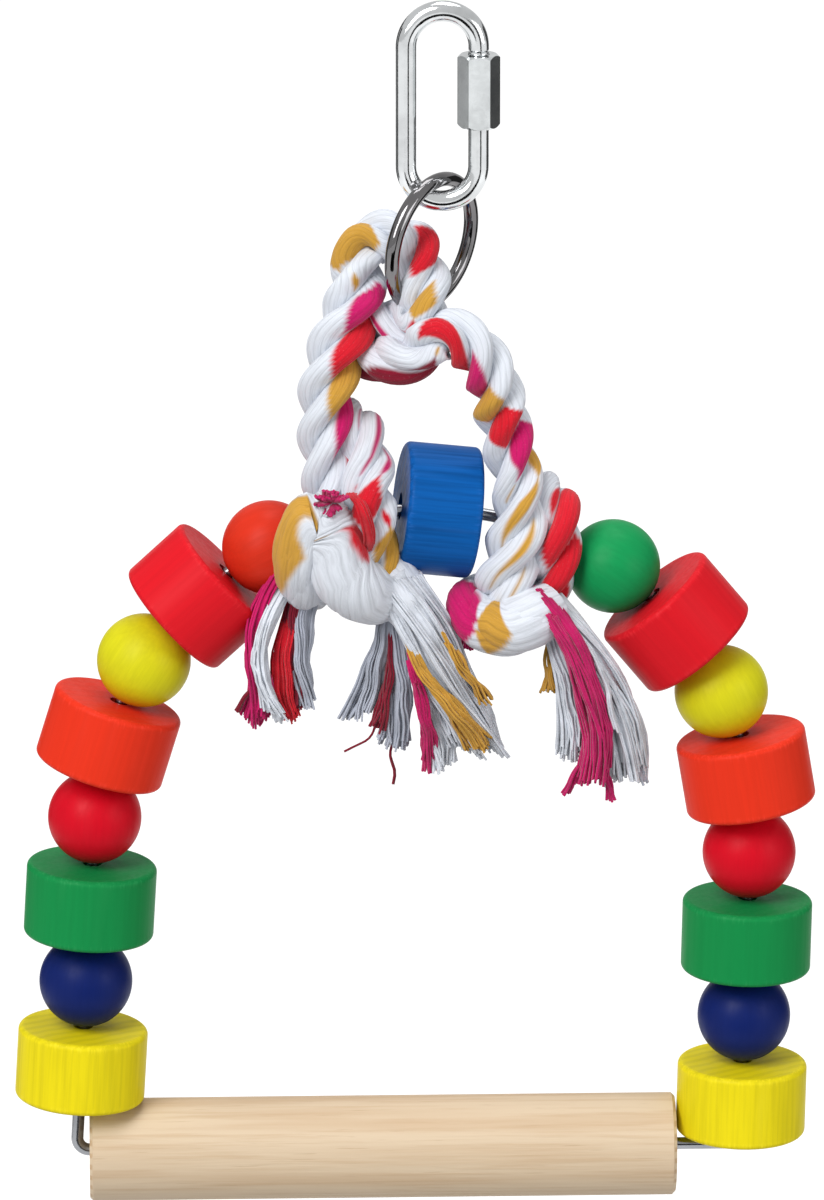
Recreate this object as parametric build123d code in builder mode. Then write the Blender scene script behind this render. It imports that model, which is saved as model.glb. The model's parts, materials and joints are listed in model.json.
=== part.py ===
from build123d import *
import os
from math import cos, degrees, pi, radians, sin, sqrt, tan

# Bird swing in millimetres. The origin is the inside of the quick link's top
# bend, where it hangs; +X is to the right, +Y away from the viewer, +Z up.

# Quick link
link_rod = 5.0
link_leg_spacing = 17.2
link_inner_length = 41.0
link_gap = 5.3
sleeve_length = 17.5
sleeve_flats = 8.8
sleeve_chamfer = 0.7
sleeve_top_drop = 8.0
sleeve_grip = 3.5
sleeve_bore_clearance = 0.08
thread_pitch = 1.0
thread_depth = 0.35
thread_turns_upper = 5
thread_turns_lower = 7

# Ring
ring_outer = 35.0
ring_wire = 3.5
ring_seat_clearance = 0.8
ring_turn = 52.0
ring_lean = 7.7
ring_off_centre = 0.8

# Arch wire
wire_d = 3.0
arch_radius = 79.3
arch_centre_x = -4.6
arch_drop = 49.73
leg_splay_left = 3.5
leg_splay_right = -1.2
wire_bend = 3.0
wire_insert = 20.0

# Beads
ball_d = 22.6
block_d = 31.5
block_height = 18.0
block_fillet = 1.3
bead_bore = 4.6
bead_gap = 0.5
rest_gap = 0.3
stack_play = 0.9
centre_block_angle = 2.5
centre_block_tilt = 4.5
centre_block_turn = 4.5
centre_block_bore = 6.6

# Perch
perch_d = 25.0
perch_chamfer = 0.8
perch_hole_clearance = 0.08
perch_hole_spare = 2.0

# Rope, knots and tassels
rope_d = 11.0
knot_rope_d = 9.0
knot_pitch = 10.0
knot_wire_clearance = 0.6
knot_room_left = 1.6
knot_room_right = 3.9
knot_stub_left = 19.5
knot_stub_right = 15.0
knot_loop_left = 14.0
knot_loop_right = 7.5
collar_drop = 17.3
collar_reach = 8.0
collar_bulge = 1.5
rope_lead = 7.0
gap_skip = 2.2
gap_points = 8
arc_share = 0.45

# Derived places
link_bend = link_leg_spacing / 2
link_rod_r = link_rod / 2
link_top_centre = link_rod_r - link_bend
link_low_centre = -link_inner_length - link_rod_r + link_bend
link_low_rod = -link_inner_length - link_rod_r
gap_top = -sleeve_top_drop - sleeve_grip
gap_low = gap_top - link_gap
ring_r = (ring_outer - ring_wire) / 2
ring_normal = Vector(
    sin(radians(ring_turn)) * cos(radians(ring_lean)),
    -cos(radians(ring_turn)) * cos(radians(ring_lean)),
    -sin(radians(ring_lean)),
)
ring_across = Vector(cos(radians(ring_turn)), sin(radians(ring_turn)), 0)
ring_down = ring_across.cross(ring_normal)
ring_top = Vector(-ring_off_centre, 0, -link_inner_length + ring_wire / 2 + ring_seat_clearance)
ring_centre = ring_top + ring_down * ring_r
ring_low = ring_centre + ring_down * ring_r
wire_r = wire_d / 2
ball_r = ball_d / 2
block_r = block_d / 2
perch_r = perch_d / 2
arch_centre_z = ring_low.Z - arch_drop - arch_radius
bead_step = block_height / 2 + ball_r + bead_gap
splay = {"left": leg_splay_left, "right": leg_splay_right}
side_sign = {"left": -1, "right": 1}
lower_beads = [
    "yellow_block",
    "navy_ball",
    "green_block",
    "red_ball",
    "orange_block",
    "yellow_ball",
    "red_block",
]
bead_names = {"left": lower_beads + ["orange_ball"], "right": lower_beads + ["green_ball"]}
right_bend_run = wire_bend * tan(radians(90 + leg_splay_right) / 2)
first_distance = {
    "left": (perch_r + rest_gap + block_r * sin(radians(leg_splay_left))) / cos(radians(leg_splay_left))
    + block_height / 2,
    "right": right_bend_run + rest_gap + block_height / 2,
}
knot_half_width = (knot_pitch + knot_rope_d) / 2
knot_angle = {
    "left": centre_block_angle
    - degrees((block_height / 2 + knot_room_left + knot_half_width) / arch_radius),
    "right": centre_block_angle
    + degrees((block_height / 2 + knot_room_right + knot_half_width) / arch_radius),
}

os.makedirs("parts", exist_ok=True)


def arch_point(angle):
    """Point (x, z) on the arch at an angle to the right of its top."""
    turn = radians(angle)
    return arch_centre_x + arch_radius * sin(turn), arch_centre_z + arch_radius * cos(turn)


def leg_end(side):
    """Point (x, z) where the arch runs into a straight leg."""
    return arch_point(side_sign[side] * (90 - splay[side]))


def leg_foot(side):
    """Height at which a leg is just long enough for its beads to end below the knot."""
    stack = first_distance[side] + len(lower_beads) * bead_step + ball_r + stack_play
    on_arch = arch_radius * radians(90 - splay[side] - abs(knot_angle[side])) - knot_half_width
    return leg_end(side)[1] - (stack - on_arch) * cos(radians(splay[side]))


perch_axis_z = min(leg_foot("left"), leg_foot("right"))


def wire_corner(side):
    """Point (x, z) where a leg's line meets the perch axis."""
    x, z = leg_end(side)
    return x + side_sign[side] * (z - perch_axis_z) * tan(radians(splay[side])), perch_axis_z


def wire_place(side, distance):
    """Point (x, z) and upward direction at a distance along the wire from its lower corner."""
    end_x, end_z = leg_end(side)
    corner_x, corner_z = wire_corner(side)
    leg = sqrt((end_x - corner_x) ** 2 + (end_z - corner_z) ** 2)
    if distance <= leg:
        along = distance / leg
        x = corner_x + (end_x - corner_x) * along
        z = corner_z + (end_z - corner_z) * along
        return (x, z), ((end_x - corner_x) / leg, (end_z - corner_z) / leg)
    angle = 90 - splay[side] - degrees((distance - leg) / arch_radius)
    sign = side_sign[side]
    return arch_point(sign * angle), (-sign * cos(radians(angle)), sin(radians(angle)))


def corner_radii(points):
    """Fillet radius for each inner point of a route, as large as its two runs allow."""
    spots = [Vector(*point) for point in points]
    radii = []
    for before, here, after in zip(spots, spots[1:], spots[2:]):
        run_in = here - before
        run_out = after - here
        turn = radians(run_in.get_angle(run_out))
        radii.append(arc_share * min(run_in.length, run_out.length) / tan(turn / 2))
    return radii


def least_gap(path, diameter, label):
    """Print a tube's length and the least gap that it leaves to itself, measured on points."""
    count = int(path.length * gap_points / diameter)
    spots = [path @ (index / count) for index in range(count + 1)]
    apart = int(gap_skip * gap_points)
    least = min(
        (spots[first] - spots[second]).length
        for first in range(len(spots))
        for second in range(first + apart, len(spots))
    )
    print(f"{label}: length {path.length:.1f}, least gap to itself {least - diameter:.2f}")


def finish(piece, label):
    """Label a piece and write its STEP file."""
    piece.part.label = label
    export_step(piece.part, f"parts/{label}.step")


# Quick link: a round rod bent to an oval, open in its right leg
link_thread = [(gap_top, 1, thread_turns_upper), (gap_low, -1, thread_turns_lower)]
leg_side = link_bend + link_rod_r
leg_axis = Axis((link_bend, 0, 0), (0, 0, 1))
with BuildPart() as quick_link:
    with BuildLine(Plane.XZ) as link_path:
        Line((link_bend, gap_top), (link_bend, link_top_centre))
        ThreePointArc((link_bend, link_top_centre), (0, link_rod_r), (-link_bend, link_top_centre))
        Line((-link_bend, link_top_centre), (-link_bend, link_low_centre))
        ThreePointArc((-link_bend, link_low_centre), (0, link_low_rod), (link_bend, link_low_centre))
        Line((link_bend, link_low_centre), (link_bend, gap_low))
    with BuildSketch(Plane((link_bend, 0, gap_top), z_dir=(0, 0, 1))):
        Circle(link_rod_r)
    sweep(path=link_path.line)
    for end_z, way, turns in link_thread:
        for turn in range(turns):
            groove_z = end_z + way * (turn + 0.5) * thread_pitch
            with BuildSketch(Plane.XZ):
                with BuildLine():
                    Polyline(
                        (leg_side - thread_depth, groove_z),
                        (leg_side + thread_depth, groove_z + thread_pitch / 2),
                        (leg_side + thread_depth, groove_z - thread_pitch / 2),
                        close=True,
                    )
                make_face()
            revolve(axis=leg_axis, mode=Mode.SUBTRACT)
finish(quick_link, "quick_link")

# Sleeve nut: a hexagonal tube over the gap, its corners turned off at both ends
sleeve_low = -sleeve_top_drop - sleeve_length
sleeve_corner_r = sleeve_flats / 2 / cos(radians(30))
sleeve_side = link_bend + sleeve_corner_r
with BuildPart() as link_sleeve:
    with BuildSketch(Plane((link_bend, 0, sleeve_low))):
        RegularPolygon(sleeve_corner_r, 6)
        Circle(link_rod_r + sleeve_bore_clearance, mode=Mode.SUBTRACT)
    extrude(amount=sleeve_length)
    with BuildSketch(Plane.XZ):
        with BuildLine():
            Polyline(
                (link_bend, sleeve_low),
                (sleeve_side - sleeve_chamfer, sleeve_low),
                (sleeve_side, sleeve_low + sleeve_chamfer),
                (sleeve_side, -sleeve_top_drop - sleeve_chamfer),
                (sleeve_side - sleeve_chamfer, -sleeve_top_drop),
                (link_bend, -sleeve_top_drop),
                close=True,
            )
        make_face()
    revolve(axis=leg_axis, mode=Mode.INTERSECT)
finish(link_sleeve, "link_sleeve")

# Ring: hangs over the link's lower bend, turned and leaning to the left
with BuildPart() as ring:
    with BuildSketch(Plane(ring_centre + ring_across * ring_r, x_dir=ring_across, z_dir=ring_down)):
        Circle(ring_wire / 2)
    revolve(axis=Axis(ring_centre, ring_normal))
finish(ring, "ring")

# Perch: a dowel whose end holes turn on the wire's two ends
left_corner_x = wire_corner("left")[0]
right_corner_x = wire_corner("right")[0]
right_first_x = wire_place("right", first_distance["right"])[0][0]
perch_left = left_corner_x + wire_bend * tan(radians(90 + leg_splay_left) / 2)
perch_right = right_first_x - block_r - block_height / 2 * sin(radians(abs(leg_splay_right))) - rest_gap
hole_depth = wire_insert + perch_hole_spare
with BuildPart() as perch:
    with BuildSketch(Plane.YZ.offset(perch_left)):
        with Locations((0, perch_axis_z)):
            Circle(perch_r)
    extrude(amount=perch_right - perch_left)
    chamfer(edges().filter_by(GeomType.CIRCLE), perch_chamfer)
    for hole_start in (perch_left, perch_right - hole_depth):
        with BuildSketch(Plane.YZ.offset(hole_start)):
            with Locations((0, perch_axis_z)):
                Circle(wire_r + perch_hole_clearance)
        extrude(amount=hole_depth, mode=Mode.SUBTRACT)
finish(perch, "perch")

# Arch wire: legs and arch in one plane, both ends turned into the perch
with BuildPart() as arch_wire:
    with BuildLine(Plane.XZ) as wire_path:
        FilletPolyline(
            (perch_left + wire_insert, perch_axis_z),
            wire_corner("left"),
            leg_end("left"),
            radius=wire_bend,
        )
        ThreePointArc(leg_end("left"), arch_point(0), leg_end("right"))
        FilletPolyline(
            leg_end("right"),
            wire_corner("right"),
            (perch_right - wire_insert, perch_axis_z),
            radius=wire_bend,
        )
    with BuildSketch(Plane((perch_left + wire_insert, 0, perch_axis_z), z_dir=(-1, 0, 0))):
        Circle(wire_r)
    sweep(path=wire_path.line)
finish(arch_wire, "arch_wire")


def bead_plane(place, up):
    """Plane at a bead's centre with its normal along the wire."""
    return Plane((place[0], 0, place[1]), x_dir=(0, 1, 0), z_dir=(up[0], 0, up[1]))


def make_block(plane, bore, label):
    """A drilled wooden block with rounded rims."""
    with BuildPart(plane) as block:
        Cylinder(block_r, block_height)
        fillet(edges().filter_by(GeomType.CIRCLE), block_fillet)
        Hole(bore / 2)
    finish(block, label)


def make_ball(plane, bore, label):
    """A drilled wooden ball."""
    with BuildPart(plane) as ball:
        Sphere(ball_r)
        Hole(bore / 2)
    finish(ball, label)


# Beads: blocks and balls by turns up each leg, and one block askew on top of the arch
for side, names in bead_names.items():
    for index, bead in enumerate(names):
        spot, upward = wire_place(side, first_distance[side] + index * bead_step)
        shape = make_block if bead.endswith("block") else make_ball
        shape(bead_plane(spot, upward), bead_bore, f"{side}_{bead}")
        print(f"{side}_{bead}: centre {spot[0]:.2f}, {spot[1]:.2f}, up {upward[0]:.4f}, {upward[1]:.4f}")
centre_slope = radians(centre_block_angle + centre_block_tilt)
centre_turn = radians(centre_block_turn)
centre_axis = (cos(centre_slope) * cos(centre_turn), cos(centre_slope) * sin(centre_turn), -sin(centre_slope))
centre_x, centre_z = arch_point(centre_block_angle)
make_block(Plane((centre_x, 0, centre_z), z_dir=centre_axis), centre_block_bore, "centre_blue_block")

# Knots: each leg goes once round the wire, then crosses below as a collar
wrap = wire_r + knot_wire_clearance + knot_rope_d / 2
half_pitch = knot_pitch / 2
loop_height = {"left": knot_loop_left, "right": knot_loop_right}
stub_height = {"left": knot_stub_left, "right": knot_stub_right}


def knot_point(side, along, depth, height):
    """Point beside the wire at a knot, its height counted from the wire below or above it."""
    x, z = arch_point(knot_angle[side])
    return x + along, depth, z - along * tan(radians(knot_angle[side])) + height


def collar_point(side, along, depth):
    """Point of the level collar below a knot's turns."""
    x, z = arch_point(knot_angle[side])
    return x + along, depth, z - collar_drop


def knot_route(side):
    """Route of the rope through a knot, from the top of its stub to its hidden end."""
    top = loop_height[side]
    return [
        knot_point(side, -half_pitch, -wrap, stub_height[side]),
        knot_point(side, -half_pitch, -wrap, -wrap),
        knot_point(side, -half_pitch / 2, wrap, -wrap),
        knot_point(side, half_pitch / 2, wrap, top),
        knot_point(side, half_pitch, -wrap, top),
        collar_point(side, half_pitch, -wrap - collar_bulge),
        collar_point(side, -half_pitch - collar_bulge, -wrap),
        collar_point(side, -half_pitch, collar_reach),
        collar_point(side, half_pitch - collar_bulge, collar_reach + collar_bulge),
    ]


def make_rope(route, diameter, label):
    """A round rope along a route of straight runs joined by tangent arcs."""
    radii = corner_radii(route)
    with BuildPart() as rope:
        with BuildLine() as rope_path:
            FilletPolyline(*route, radius=radii)
        with BuildSketch(Plane(rope_path.line @ 0, z_dir=rope_path.line % 0)):
            Circle(diameter / 2)
        sweep(path=rope_path.line)
    finish(rope, label)
    centreline = rope_path.wire()
    least_gap(centreline, diameter, label)
    section = pi * diameter**2 / 4
    print(f"  radii {[round(radius, 1) for radius in radii]}")
    print(f"  volume {rope.part.volume:.0f}, section times length {section * centreline.length:.0f}")
    return rope


knots = {side: make_rope(knot_route(side), knot_rope_d, f"knot_{side}") for side in ("left", "right")}

# Rope loop: left leg, through the ring from behind, a hidden turn and the right leg,
# its turns counted from the ring's lowest point
loop_turns = [
    (-25.4, -11.1, -12.3),
    (-23.4, -6.1, 2.7),
    (-15.4, 2.9, 17.2),
    (-2.4, 1.4, 19.2),
    (3.8, -6.1, 7.7),
    (3.3, -10.6, -6.3),
    (-6.4, -5.1, -9.3),
    (-18.7, 5.9, -9.3),
    (-18.4, 5.4, -24.3),
    (-4.4, -12.1, -23.3),
    (4.1, -19.6, -14.3),
    (9.1, -22.6, -6.3),
    (19.6, -17.1, -6.3),
    (21.9, -12.1, -18.3),
]
loop_route = [
    knot_point("left", -half_pitch, -wrap, knot_stub_left),
    knot_point("left", -half_pitch, -wrap, knot_stub_left + rope_lead),
    *[(ring_low.X + x, ring_low.Y + y, ring_low.Z + z) for x, y, z in loop_turns],
    knot_point("right", -half_pitch, -wrap, knot_stub_right + rope_lead),
    knot_point("right", -half_pitch, -wrap, knot_stub_right),
]
make_rope(loop_route, rope_d, "rope_loop")


def make_tassel(side, sections, label):
    """A frayed tail: a flaring bundle from inside its knot, cut to the knot's surface."""
    knot_x, knot_z = arch_point(knot_angle[side])
    with BuildPart() as tassel:
        for x, y, z, half_width, half_depth in sections:
            with BuildSketch(Plane((knot_x + x, y, knot_z + z))):
                Ellipse(half_width, half_depth)
        loft()
        add(knots[side].part, mode=Mode.SUBTRACT)
    tassel.part = tassel.part.solids().sort_by(SortBy.VOLUME)[-1]
    finish(tassel, label)


# Tassels: x, y, z, half width and half depth of each section, counted from the wire at the knot
tassel_sections = {
    "left_front": [
        (4.4, -8.0, -18.0, 4.5, 4.5),
        (8.4, -9.5, -39.0, 8.0, 5.5),
        (15.4, -9.5, -65.0, 17.0, 6.0),
    ],
    "left_rear": [
        (-7.6, -6.0, -18.0, 4.0, 4.5),
        (-17.6, -11.5, -32.0, 6.5, 4.5),
        (-19.9, -12.0, -53.0, 9.0, 5.0),
    ],
    "right_front": [
        (4.4, -8.0, -18.8, 4.5, 4.5),
        (10.4, -8.0, -40.8, 7.5, 5.0),
        (19.4, -8.0, -68.8, 11.0, 5.5),
    ],
    "right_rear": [
        (-4.6, 7.0, -17.8, 3.5, 3.5),
        (-10.6, 7.5, -25.8, 4.0, 3.5),
        (-14.1, 8.0, -33.8, 4.5, 3.5),
    ],
}
for place, sections in tassel_sections.items():
    make_tassel(place.split("_")[0], sections, f"tassel_{place}")
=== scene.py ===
import json
import logging
import random
from dataclasses import dataclass, field
from enum import Enum
from math import cos, pi, radians, sin, sqrt, tau

import bmesh
import bpy
import numpy as np
from bpy.types import ID, Curve, Light, Material, Mesh, Node, NodeSocket, NodeTree, Object, Spline
from mathutils import Matrix, Vector


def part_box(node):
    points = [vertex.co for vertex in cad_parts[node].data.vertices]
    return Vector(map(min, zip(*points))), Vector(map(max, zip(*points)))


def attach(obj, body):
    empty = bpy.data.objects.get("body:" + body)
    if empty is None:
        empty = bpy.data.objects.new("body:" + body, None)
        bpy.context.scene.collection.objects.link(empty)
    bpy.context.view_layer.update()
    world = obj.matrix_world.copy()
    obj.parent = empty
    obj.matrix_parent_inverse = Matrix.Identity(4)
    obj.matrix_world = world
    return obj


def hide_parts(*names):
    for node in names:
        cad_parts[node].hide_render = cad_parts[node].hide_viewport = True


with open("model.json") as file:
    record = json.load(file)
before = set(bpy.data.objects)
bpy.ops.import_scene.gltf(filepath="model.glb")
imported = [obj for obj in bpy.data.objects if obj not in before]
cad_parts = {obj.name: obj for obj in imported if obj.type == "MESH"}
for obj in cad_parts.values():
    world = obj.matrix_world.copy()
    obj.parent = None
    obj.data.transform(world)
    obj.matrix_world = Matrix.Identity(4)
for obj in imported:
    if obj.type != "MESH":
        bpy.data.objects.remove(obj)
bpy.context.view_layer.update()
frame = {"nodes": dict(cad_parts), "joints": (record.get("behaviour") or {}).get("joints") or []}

log = logging.getLogger("bird_swing")

MM = 0.001
FRAME_HEIGHT_PX = 1200
WHITE_LIGHT = (1.0, 1.0, 1.0, 1.0)

Colour = tuple[float, float, float]
Point = tuple[float, float, float]
Socket = NodeSocket


class Yarn(Enum):
    """Cotton yarns of the rope, as linear colours: its dyes, and white and red yarn darkened as painted
    shade.
    """

    WHITE = (0.73, 0.765, 0.83)
    # white yarn darkened to bluish grey as painted shade
    GREY = (0.47, 0.50, 0.58)
    RED = (0.66, 0.008, 0.022)
    MUSTARD = (0.60, 0.32, 0.045)
    MAGENTA = (0.58, 0.006, 0.13)
    # red yarn darkened as painted shade
    DARK_RED = (0.23, 0.004, 0.022)


class Paint(Enum):
    """Stains of the wooden beads, as linear colours."""

    YELLOW_BLOCK = (0.83, 0.69, 0.010)
    YELLOW_BALL = (0.66, 0.62, 0.012)
    ORANGE_BLOCK = (0.77, 0.036, 0.013)
    ORANGE_BALL = (0.64, 0.032, 0.012)
    RED_BLOCK = (0.67, 0.011, 0.019)
    RED_BALL = (0.62, 0.004, 0.016)
    GREEN_BLOCK = (0.008, 0.25, 0.062)
    GREEN_BALL = (0.007, 0.28, 0.080)
    NAVY_BALL = (0.005, 0.015, 0.12)
    BLUE_BLOCK = (0.004, 0.105, 0.40)


class Shape(Enum):
    """The two forms of bead."""

    BLOCK = "block"
    BALL = "ball"


def scaled(colour: Colour, factor: float) -> Colour:
    """Return a colour made darker or lighter by a factor."""
    return tuple(part * factor for part in colour)


class NodeGraph:
    """A node tree, with short calls for the nodes that the finishes and the world use."""

    def __init__(self, tree: NodeTree) -> None:
        """Keep the tree that the nodes go into."""
        self.tree = tree

    def add(self, kind: str, sockets: dict | None = None, **values: object) -> Node:
        """Add a node, set its properties and feed its inputs.

        Args:
            kind: the node's type name, without its prefix.
            sockets: outputs or plain values for its inputs, by name or number.
            values: properties of the node.

        Returns:
            The new node.
        """
        node = self.tree.nodes.new(f"ShaderNode{kind}")
        for key, value in values.items():
            setattr(node, key, value)
        for key, value in (sockets or {}).items():
            self.feed(node.inputs[key], value)
        return node

    def feed(self, socket: Socket, value: object) -> None:
        """Link a socket to an output, or set it to a plain value.

        Args:
            socket: the input.
            value: the output or the value.
        """
        if isinstance(value, NodeSocket):
            self.tree.links.new(value, socket)
        else:
            socket.default_value = value

    def math(self, operation: str, *values: object, clamp: bool = False) -> Socket:
        """Return the output of a math node."""
        node = self.add("Math", dict(enumerate(values)), operation=operation, use_clamp=clamp)
        return node.outputs[0]


class Shader(NodeGraph):
    """One material's node tree, with its principled shader."""

    def __init__(self, name: str) -> None:
        """Start a material with its principled shader.

        Args:
            name: the material's name.
        """
        self.material = bpy.data.materials.new(name)
        self.material.use_nodes = True
        super().__init__(self.material.node_tree)
        self.surface = self.tree.nodes["Principled BSDF"]

    def set(self, **values: object) -> None:
        """Feed the principled shader's inputs, named with underscores for spaces."""
        for key, value in values.items():
            self.feed(self.surface.inputs[key.replace("_", " ")], value)

    def mix(self, share: object, first: object, second: object) -> Socket:
        """Return a colour mixed by a share from the first to the second."""
        ends = [(*value, 1.0) if isinstance(value, tuple) else value for value in (first, second)]
        return self.add("Mix", {0: share, 6: ends[0], 7: ends[1]}, data_type="RGBA").outputs[2]

    def steps(self, value: object, low: float, high: float, top: float = 1.0) -> Socket:
        """Return a smooth step of a value from 0 at low to top at high."""
        sockets = {"Value": value, "From Min": low, "From Max": high, "To Max": top}
        return self.add("MapRange", sockets, interpolation_type="SMOOTHSTEP").outputs["Result"]

    def noise(self, vector: Socket, scale: float, detail: float = 3.0, roughness: float = 0.55) -> Socket:
        """Return a noise value over a vector."""
        sockets = {"Vector": vector, "Scale": scale, "Detail": detail, "Roughness": roughness}
        return self.add("TexNoise", sockets).outputs["Fac"]

    def fibres(self, vector: Socket, scale: Point, detail: float, roughness: float = 0.55) -> Socket:
        """Return a noise value stretched along a fibre's run."""
        return self.noise(self.stretch(vector, scale), 1.0, detail, roughness)

    def rings(self, vector: Socket, axis: str, scale: float, wander: float, finer: float = 1.0) -> Socket:
        """Return rings round an axis, as on cut end grain."""
        sockets = {"Vector": vector, "Scale": scale, "Distortion": wander, "Detail": 3, "Detail Scale": finer}
        return self.add("TexWave", sockets, wave_type="RINGS", rings_direction=axis).outputs["Fac"]

    def place(self, location: Point = (0, 0, 0), turn: Point = (0, 0, 0)) -> Socket:
        """Return object coordinates seen from a place, turned as that place is."""
        sockets = {"Location": location, "Rotation": turn, "Vector": self.add("TexCoord").outputs["Object"]}
        return self.add("Mapping", sockets, vector_type="TEXTURE").outputs["Vector"]

    def stretch(self, vector: Socket, scale: Point) -> Socket:
        """Return a vector scaled along its axes."""
        return self.add("VectorMath", {0: vector, 1: scale}, operation="MULTIPLY").outputs["Vector"]

    def split(self, vector: Socket) -> tuple[Socket, Socket, Socket]:
        """Return the three parts of a vector."""
        return tuple(self.add("SeparateXYZ", {0: vector}).outputs)

    def bump(self, height: Socket, strength: float, distance: float) -> None:
        """Give the surface a bump from a height."""
        sockets = {"Height": height, "Strength": strength, "Distance": distance}
        self.set(Normal=self.add("Bump", sockets).outputs["Normal"])


@dataclass(frozen=True)
class PlatedSteel:
    """Bright plated steel with faint drawing marks and dull spots."""

    name: str
    tint: Colour
    roughness: float = 0.16
    dull: float = 0.12
    marks: float = 900.0

    def make(self) -> Material:
        """Make the finish.

        Returns:
            Its material.
        """
        shader = Shader(self.name)
        coords = shader.place()
        spots = shader.noise(coords, self.marks, 4.0)
        cloud = shader.noise(coords, self.marks / 8)
        shader.set(Metallic=1.0)
        shader.set(Base_Color=shader.mix(shader.steps(cloud, 0.35, 0.7), self.tint, scaled(self.tint, 0.78)))
        shader.set(Roughness=shader.math("MULTIPLY_ADD", spots, self.dull, self.roughness - self.dull / 2))
        shader.bump(spots, 0.06, 0.0002)
        return shader.material


@dataclass(frozen=True)
class StainedWood:
    """Stained and lacquered wood: grain along the bead's bore, end grain on its flat faces."""

    paint: Paint
    shape: Shape
    grain: float
    half_height: float
    radius: float
    roughness: float = 0.42
    fibre_scale: Point = (900, 900, 36)
    broad_scale: Point = (150, 150, 20)
    pore_scale: Point = (1600, 1600, 60)

    def make(self, name: str, centre: Vector, turn: Point, seed: float) -> Material:
        """Return the finish as a material placed on one bead.

        Args:
            name: the material's name.
            centre: the bead's centre.
            turn: the Euler angles that carry +Z to the bead's bore.
            seed: an offset that gives each bead grain of its own.

        Returns:
            The material.
        """
        shader = Shader(name)
        local = shader.place(tuple(centre), turn)
        x, y, z = shader.split(local)
        offset = (seed, seed * 0.7, seed * 0.3)
        shifted = shader.add("VectorMath", {0: local, 1: offset}, operation="ADD").outputs[0]
        fibre = shader.fibres(shifted, self.fibre_scale, 4.0, 0.6)
        broad = shader.fibres(shifted, self.broad_scale, 2.0)
        pores = shader.fibres(shifted, self.pore_scale, 2.0)
        across = shader.math("ADD", shader.math("MULTIPLY", x, x), shader.math("MULTIPLY", y, y))
        radial = shader.math("SQRT", across)
        height = shader.math("ABSOLUTE", z)
        lines = shader.math("ADD", shader.math("MULTIPLY", fibre, 0.6), shader.math("MULTIPLY", broad, 0.4))
        shade = shader.steps(lines, 0.36, 0.66)
        full = self.paint.value
        deep = scaled(full, 0.66)
        pale = tuple(min(1.0, part * 1.12 + 0.02) for part in full)
        stain = shader.mix(shader.math("MULTIPLY", shade, self.grain), full, deep)
        stain = shader.mix(shader.steps(broad, 0.55, 0.8, self.grain), stain, pale)
        if self.shape is Shape.BLOCK:
            end = shader.steps(height, self.half_height - 0.0009, self.half_height - 0.0003)
            rings = shader.rings(shader.stretch(shifted, (1, 1, 0)), "Z", 95.0, 3.0, 1.5)
            late = shader.steps(rings, 0.3, 0.9, self.grain)
            stain = shader.mix(end, stain, shader.mix(late, scaled(full, 0.92), scaled(full, 0.72)))
            rim_high = shader.steps(height, self.half_height - 0.0024, self.half_height - 0.0008)
            rim_wide = shader.steps(radial, self.radius - 0.0024, self.radius - 0.0007)
            rim = shader.math("MULTIPLY", rim_high, rim_wide)
            worn = shader.math("MULTIPLY", rim, shader.steps(pores, 0.5, 0.68, 0.5))
            stain = shader.mix(worn, stain, pale)
        else:
            stain = shader.mix(shader.steps(radial, 0.0042, 0.0028, 0.45), stain, deep)
        shader.set(Base_Color=stain)
        shader.set(Roughness=shader.math("MULTIPLY_ADD", shade, 0.12, self.roughness - 0.05))
        shader.set(Specular_IOR_Level=0.06 if self.shape is Shape.BLOCK else 0.09)
        relief = shader.math("ADD", lines, shader.math("MULTIPLY", pores, 0.4))
        shader.bump(relief, 0.16 * self.grain, 0.0003)
        return shader.material


@dataclass(frozen=True)
class RawWood:
    """Bare pale hardwood with long grain along X and end grain on its two cut faces."""

    pale: Colour = (0.66, 0.52, 0.36)
    streak: Colour = (0.53, 0.36, 0.21)
    pore: Colour = (0.36, 0.21, 0.10)
    roughness: float = 0.62
    broad_scale: Point = (9, 170, 170)
    fine_scale: Point = (28, 900, 900)
    pore_scale: Point = (75, 2300, 2300)

    def make(self, left: float, right: float) -> Material:
        """Return the finish as a material.

        Args:
            left: the dowel's left end on X.
            right: the dowel's right end on X.

        Returns:
            The material.
        """
        shader = Shader("perch_raw_wood")
        coords = shader.place()
        x, _, _ = shader.split(coords)
        broad = shader.fibres(coords, self.broad_scale, 3.0, 0.5)
        fine = shader.fibres(coords, self.fine_scale, 4.0, 0.6)
        pores = shader.fibres(coords, self.pore_scale, 2.0, 0.5)
        wood = shader.mix(shader.steps(broad, 0.42, 0.68, 0.5), self.pale, self.streak)
        wood = shader.mix(shader.steps(fine, 0.46, 0.72, 0.5), wood, self.streak)
        wood = shader.mix(shader.steps(pores, 0.66, 0.76, 0.4), wood, self.pore)
        rings = shader.rings(shader.stretch(coords, (0, 1, 1)), "X", 110.0, 2.5)
        cut = shader.mix(shader.steps(rings, 0.3, 0.9), self.pale, self.streak)
        left_end = shader.steps(x, left + 0.0009, left + 0.0003)
        right_end = shader.steps(x, right - 0.0009, right - 0.0003)
        shader.set(Base_Color=shader.mix(shader.math("MAXIMUM", left_end, right_end), wood, cut))
        shader.set(Roughness=shader.math("MULTIPLY_ADD", fine, 0.2, self.roughness - 0.1))
        shader.bump(shader.math("SUBTRACT", fine, shader.math("MULTIPLY", pores, 0.6)), 0.3, 0.0003)
        return shader.material


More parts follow.
